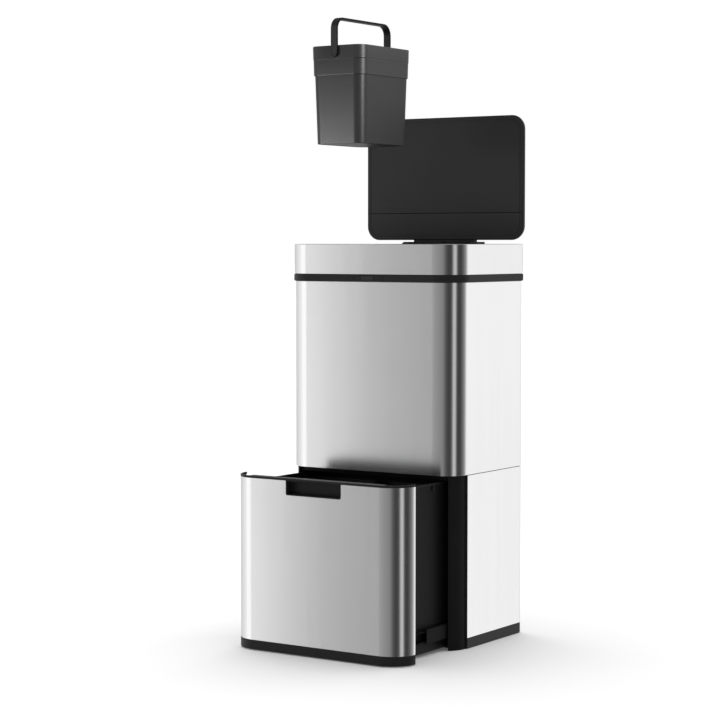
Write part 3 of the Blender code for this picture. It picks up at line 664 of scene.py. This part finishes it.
# ---- Head --------------------------------------------------------------------------------
def make_head_ring():
    """The black ring, stepped over the case's edge, with seats for the window and buttons."""
    low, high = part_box("head_ring")
    proud = high.x - CASE_HIGH.x
    step = CASE_HIGH.z + 0.0003
    inner, skirt = -0.0060, -SHEET - 0.0006
    profile = [(proud, step), (proud, high.z), (inner, high.z), (inner, low.z), (skirt, low.z),
               (skirt, step)]
    radii = [0.0026, 0.0026, 0.0006, 0.0005, 0.0005, 0.0003]
    ring = case_band("head_ring_fine", profile, radii, 5)
    window_low, window_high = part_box("sensor_window")
    gap = 0.0004
    outline = face_outline(window_low, window_high, -gap, 0.0030)
    seats = [extrude("window_seat", outline, FRONT_Y, window_high.y + gap, "y")]
    for button in ("open_button", "close_button"):
        x, z, radius = round_front(button)
        hole = circle(x, z, radius + gap, BUTTON_STEPS)
        seats.append(extrude("button_seat", hole, FRONT_Y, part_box(button)[1].y + 0.0012, "y"))
    carve(ring, *seats)
    finish_as(ring, "head_ring")


def make_sensor_window():
    low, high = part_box("sensor_window")
    outer = face_outline(low, high, 0, 0.0027)
    inner = face_outline(low, high, 0.0007, 0.0021)
    loops = [upright(outer, high.y), upright(outer, low.y + 0.0006), upright(inner, low.y)]
    finish_as(loft("sensor_window_fine", loops), "sensor_window")


def round_front(node):
    """The middle and the radius of a round node seen from the front."""
    low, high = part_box(node)
    return (low.x + high.x) / 2, (low.z + high.z) / 2, (high.x - low.x) / 2


def make_button(node):
    """A rubber key with a rounded rim and a shallow dish."""
    low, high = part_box(node)
    x, z, radius = round_front(node)
    rings = [(radius, high.y), (radius, low.y + 0.0008), (radius - 0.0003, low.y + 0.0002),
             (radius - 0.0009, low.y), (radius - 0.0016, low.y + 0.0002), (0.0003, low.y + 0.0004)]
    finish_as(turned(node + "_fine", x, z, rings, BUTTON_STEPS, sharp=60), node)


def make_collar():
    """The steel collar, rolled over at the top and notched for the hinge housing."""
    low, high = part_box("collar_band")
    out = high.x - CASE_HIGH.x
    lip, top = 0.0050, high.z
    profile = [
        (out, low.z), (out, top), (out - lip, top), (out - lip, top - SHEET),
        (out - SHEET, top - SHEET), (out - SHEET, low.z),
    ]
    radii = [0.0004, 0.0024, 0.0004, 0.0003, 0.0014, 0.0004]
    collar = case_band("collar_sheet", profile, radii, 5)
    left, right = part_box("hinge_housing")
    gap = 0.0006
    notch_low = (left.x - gap, 0.1, left.z - 0.0005)
    notch_high = (right.x + gap, 0.3, 1)
    carve(collar, block("notch", notch_low, notch_high))
    finish_as(collar, "collar_band")


def make_head():
    make_head_ring()
    make_sensor_window()
    for button in ("open_button", "close_button"):
        make_button(button)
    make_collar()
    for node, width in (("head_frame", 0.0005), ("hinge_housing", 0.0006), ("drive_gearbox", 0.0008)):
        refined(node, width)
    make_rear_cover()


def make_rear_cover():
    """The rear cover, the switch, and the battery door with grip grooves near its top."""
    refined("housing_cover", 0.0005)
    door = refine("battery_door", 0.0005)
    bake(door)
    low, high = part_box("battery_door")
    middle = (low.x + high.x) / 2
    half_long, pitch, width = 0.009, 0.0022, 0.0009
    grooves = []
    for k in range(5):
        z = high.z - 0.006 - pitch * k
        groove_low = (middle - half_long, high.y - 0.0004, z)
        groove_high = (middle + half_long, high.y + 0.0010, z + width)
        grooves.append(block("groove", groove_low, groove_high))
    carve(door, *grooves)
    finish_as(door, "battery_door")
    refined("power_switch", 0.0004)


# ---- Lid ---------------------------------------------------------------------------------
def lid_outline(inset, y):
    """The lid's outline at y, moved inwards by inset."""
    low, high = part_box("lid_shell")
    return upright(face_outline(low, high, inset, LID_R - inset), y)


def lid_side(wall, steps=12):
    """The lid's curved side from its back to its face, moved inwards by wall."""
    low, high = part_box("lid_shell")
    start = low.y + 0.0030
    loops = []
    for step in range(steps + 1):
        turn = math.radians(90 * (1 - step / steps))
        inset = LID_TURN - (LID_TURN - wall) * math.cos(turn)
        loops.append(lid_outline(inset, start + (high.y - wall - start) * math.sin(turn)))
    return loops


def make_lid_shell():
    """A hollow shell with a rounded rim, notched at the bottom for the arm."""
    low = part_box("lid_shell")[0]
    face = low.y
    rim = [lid_outline(0.0001, face + 0.0012), lid_outline(0.0004, face + 0.0004),
           lid_outline(0.0009, face), lid_outline(LID_WALL, face + 0.0002)]
    shell = loft("lid_shell_fine", lid_side(0) + rim + lid_side(LID_WALL)[::-1])
    arm_low, arm_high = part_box("lid_arm")
    gap = 0.0006
    notch_low = (arm_low.x - gap, 0.1, low.z - 0.01)
    notch_high = (arm_high.x + gap, arm_high.y + 0.0003, low.z + 0.0088)
    carve(shell, block("notch", notch_low, notch_high))
    finish_as(shell, "lid_shell")


def make_lid_sheet():
    """The steel sheet on the lid's back, with a rolled edge."""
    low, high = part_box("lid_skin")
    edge = low.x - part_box("lid_shell")[0].x
    loops = [lid_outline(edge, low.y), lid_outline(edge, high.y - 0.0006),
             lid_outline(edge + 0.0002, high.y - 0.0002), lid_outline(edge + 0.0006, high.y)]
    finish_as(loft("lid_sheet", loops, sharp=50), "lid_skin")


def make_lid_panel(node, low_r, high_r):
    """Part of the lid's inside: a plate with rounded edges and a shadow groove near the rim."""
    low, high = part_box(node)
    face = low.y
    loops = []
    for inset, y in ((0, high.y), (0, face + 0.0009), (0.0003, face + 0.0003), (0.0010, face)):
        radii = [max(radius - inset, 0.0004) for radius in (low_r, high_r)]
        loops.append(upright(face_outline(low, high, inset, *radii), y))
    panel = loft(node + "_fine", loops, sharp=50)
    outer, inner, above, below = 0.0082, 0.0094, face - 0.001, face + 0.0007
    groove = [lid_outline(outer, above), lid_outline(outer, below),
              lid_outline(inner, below), lid_outline(inner, above)]
    carve(panel, loft("groove", groove, closed=True))
    finish_as(panel, node)


def make_lid():
    make_lid_shell()
    make_lid_sheet()
    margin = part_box("lid_inner_panel")[0].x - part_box("lid_shell")[0].x
    joint_r, round_r = 0.0012, LID_R - margin
    make_lid_panel("lid_inner_panel", joint_r, round_r)
    make_lid_panel("lid_hinge_cover", round_r, joint_r)
    refined("lid_arm", 0.0006)
    refined("sector_gear", 0.0002)


# ---- Drawer ------------------------------------------------------------------------------
def make_drawer_sheet(shift):
    """The wrapped steel front, cut out for the finger pull."""
    low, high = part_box("drawer_front_skin")
    wall = [(0, low.z), (0, high.z), (-SHEET, high.z), (-SHEET, low.z)]
    sheet = front_band("drawer_front_sheet", wall, shift, 0.0004, 3)
    pull_low, pull_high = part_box("drawer_finger_pull")
    gap = 0.0004
    outline = rounded(pull_low.x - gap, pull_high.x + gap, pull_low.z - gap, high.z + 0.02, 0.0040)
    carve(sheet, extrude("pull_cut", outline, FRONT_Y, pull_high.y - 0.002, "y"))
    finish_as(sheet, "drawer_front_skin")


def make_drawer_trim(shift):
    """The black trim on the front's top edge, with a narrow shelf behind it."""
    low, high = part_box("drawer_top_trim")
    out, inn = 0.0005, -0.0034
    profile = [(out, low.z), (out, high.z), (inn, high.z), (inn, low.z)]
    trim = front_band("drawer_trim_fine", profile, shift, [0.0006, 0.0018, 0.0008, 0.0005], 4)
    half_long = 0.160
    shelf_low = (-half_long, CASE_LOW.y + 0.0016 + shift, low.z)
    shelf_high = (half_long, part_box("drawer_finger_pull")[1].y, high.z - 0.0002)
    weld(trim, block("trim_shelf", shelf_low, shelf_high))
    finish_as(trim, "drawer_top_trim")


def make_drawer_skirt(shift):
    low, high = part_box("drawer_skirt")
    out, inn = 0.0006, -0.0024
    profile = [(out, low.z), (out, high.z), (inn, high.z), (inn, low.z)]
    skirt = front_band("drawer_skirt_fine", profile, shift, [0.0022, 0.0014, 0.0006, 0.0006], 4)
    finish_as(skirt, "drawer_skirt")


def make_pull():
    """The finger pull: a deep cup with a rolled lip."""
    low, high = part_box("drawer_finger_pull")
    wall = 0.0018
    steps = [
        (0, high.y), (0, low.y + 0.0008), (0.0003, low.y + 0.0002), (0.0009, low.y),
        (0.0014, low.y + 0.0002), (wall, low.y + 0.0009), (wall, high.y - 0.0028),
        (wall + 0.0008, high.y - 0.0020),
    ]
    loops = []
    for inset, y in steps:
        outline = rounded(low.x + inset, high.x - inset, low.z + inset, high.z - inset * 0.8,
                          0.0040 - inset * 0.4, 0.0012)
        loops.append(upright(outline, y))
    finish_as(loft("drawer_pull_fine", loops, sharp=50), "drawer_finger_pull")


def make_tray():
    """The drawer's tray, with bag clips, a rolled rim and a ledge along both sides."""
    tray = refine("drawer_chassis", 0.0008, 3)
    bake(tray)
    low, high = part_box("drawer_chassis")
    front, rear = low.y + 0.010, high.y - 0.004
    ledge_low, ledge_high = 0.0590, 0.0606
    extra = []
    for side in (-1, 1):
        x = high.x * side
        root, tip = x - side * 0.0012, x + side * 0.0026
        for y in (low.y + 0.078, low.y + 0.165):
            clip = [(root, y - 0.005), (tip, y - 0.004), (tip, y + 0.004), (root, y + 0.005)]
            extra.append(soften(extrude("clip", clip, high.z - 0.016, high.z - 0.006), 0.0006))
        x0, x1 = sorted((x - side * 0.0010, x + side * 0.0018))
        extra.append(block("rim", (x0, front, high.z - 0.0042), (x1, rear, high.z - 0.0004)))
        extra.append(block("ledge", (x0, front, ledge_low), (x1, rear, ledge_high)))
    weld(tray, *extra)
    finish_as(tray, "drawer_chassis")


def make_drawer():
    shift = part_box("drawer_front_skin")[0].y - CASE_LOW.y
    make_drawer_sheet(shift)
    make_drawer_trim(shift)
    make_drawer_skirt(shift)
    make_pull()
    make_tray()
    for word in ("left", "right"):
        refined("recycling_bucket_" + word, 0.0009, 3)


# ---- Caddy -------------------------------------------------------------------------------
def caddy_loops(low, high):
    """The caddy's levels from its foot, up the outside, over the rim and down the inside."""
    x, y = (low.x + high.x) / 2, (low.y + high.y) / 2
    base, rim = low.z, high.z
    skirt, band = rim - 0.0585, rim - 0.0275

    def ring(half_x, half_y, radius, z):
        return level(rounded(x - half_x, x + half_x, y - half_y, y + half_y, radius), z)

    foot = [
        ring(0.0522, 0.0800, 0.0140, base + 0.0006), ring(0.0542, 0.0820, 0.0160, base + 0.0006),
        ring(0.0548, 0.0826, 0.0166, base), ring(0.0567, 0.0845, 0.0185, base),
        ring(0.0576, 0.0854, 0.0194, base + 0.0004), ring(0.0581, 0.0859, 0.0199, base + 0.0014),
    ]
    side = [
        ring(0.0615, 0.0909, 0.0212, skirt + 0.0010), ring(0.0617, 0.0911, 0.0213, skirt + 0.0006),
        ring(0.0628, 0.0920, 0.0218, skirt + 0.0002), ring(0.0632, 0.0925, 0.0221, skirt),
        ring(0.0634, 0.0928, 0.0223, skirt + 0.0006), ring(0.0641, 0.0936, 0.0226, band - 0.0008),
        ring(0.0638, 0.0933, 0.0223, band - 0.0002), ring(0.0641, 0.0936, 0.0226, band + 0.0004),
        ring(0.0646, 0.0942, 0.0229, band + 0.0012), ring(0.0651, 0.0947, 0.0230, rim - 0.0010),
    ]
    inside = [
        ring(0.0648, 0.0944, 0.0227, rim - 0.0002), ring(0.0642, 0.0938, 0.0221, rim),
        ring(0.0632, 0.0928, 0.0210, rim), ring(0.0628, 0.0924, 0.0206, rim - 0.0006),
        ring(0.0600, 0.0892, 0.0190, skirt), ring(0.0568, 0.0846, 0.0184, base + 0.0040),
        ring(0.0560, 0.0838, 0.0176, base + 0.0026), ring(0.0548, 0.0826, 0.0165, base + 0.0020),
    ]
    return foot + side + inside


def make_tub():
    """The caddy's tub, with a round boss at each end for the strap."""
    low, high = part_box("caddy_body")
    x, y = (low.x + high.x) / 2, (low.y + high.y) / 2
    pivot_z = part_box("caddy_handle")[0].z + PIVOT_RISE
    tub = loft("caddy_tub", caddy_loops(low, high), sharp=42)
    for end in (-1, 1):
        y0, y1 = sorted((y + end * 0.0905, y + end * (high.y - y)))
        rod = extrude("boss", circle(x, pivot_z, BOSS_R, PIVOT_STEPS), y0, y1, "y")
        weld(tub, soften(rod, 0.0005))
    finish_as(tub, "caddy_body")
    return tub


def strap_path(reach, top, pivot_z):
    """The strap's outer line up, across and down, as (place along Y, z, direction)."""
    bend, steps = 0.0240, 14
    turns = [(-1, 180 - 90 * k / steps) for k in range(1, steps + 1)]
    turns += [(1, 90 - 90 * k / steps) for k in range(steps + 1)]
    path = [(-reach, pivot_z + 0.006, 180), (-reach, top - bend, 180)]
    for side, turn in turns:
        along = side * (reach - bend) + bend * math.cos(math.radians(turn))
        path.append((along, top - bend + bend * math.sin(math.radians(turn)), turn))
    return path + [(reach, pivot_z + 0.006, 0)]


def make_strap():
    """The strap: slightly crowned, with rounded edges, swept round two large bends."""
    low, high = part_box("caddy_handle")
    x, y = (low.x + high.x) / 2, (low.y + high.y) / 2
    half_w, thick = (high.x - low.x) / 2, 0.0045
    reach, pivot_z = (high.y - low.y) / 2, low.z + PIVOT_RISE
    section = []
    for u, v in rounded(-half_w, half_w, 0, thick, 0.0009, 0.0016, 4):
        crown = 0.0004 * (1 - (u / half_w) ** 2) if v > thick / 2 else 0
        section.append((u, v - 0.0004 + crown))
    loops = []
    for along, z, turn in strap_path(reach, high.z, pivot_z):
        c, s = math.cos(math.radians(turn)), math.sin(math.radians(turn))
        loops.append([(x + u, y + along - c * (thick - v), z - s * (thick - v)) for u, v in section])
    strap = loft("caddy_grip", loops, sharp=50)
    eye_r, eye_top = half_w - 0.0002, pivot_z + 0.012
    eye = arc(x, pivot_z, eye_r, 180, 360, 24) + [(x + eye_r, eye_top), (x - eye_r, eye_top)]
    for end in (-1, 1):
        y0, y1 = sorted((y + end * (reach - thick), y + end * (reach - 0.0003)))
        weld(strap, soften(extrude("eye", eye, y0, y1, "y"), 0.0008))
        y0, y1 = sorted((y + end * 0.0900, y + end * (reach - 0.0022)))
        carve(strap, extrude("bore", circle(x, pivot_z, BORE_R, PIVOT_STEPS), y0, y1, "y"))
    finish_as(strap, "caddy_handle")
    return strap


LOOKS = make_materials()
make_camera()
make_studio()
paint_nodes()
make_case()
make_case_screws()
make_head()
make_lid()
make_drawer()
light_caddy(make_tub(), make_strap())
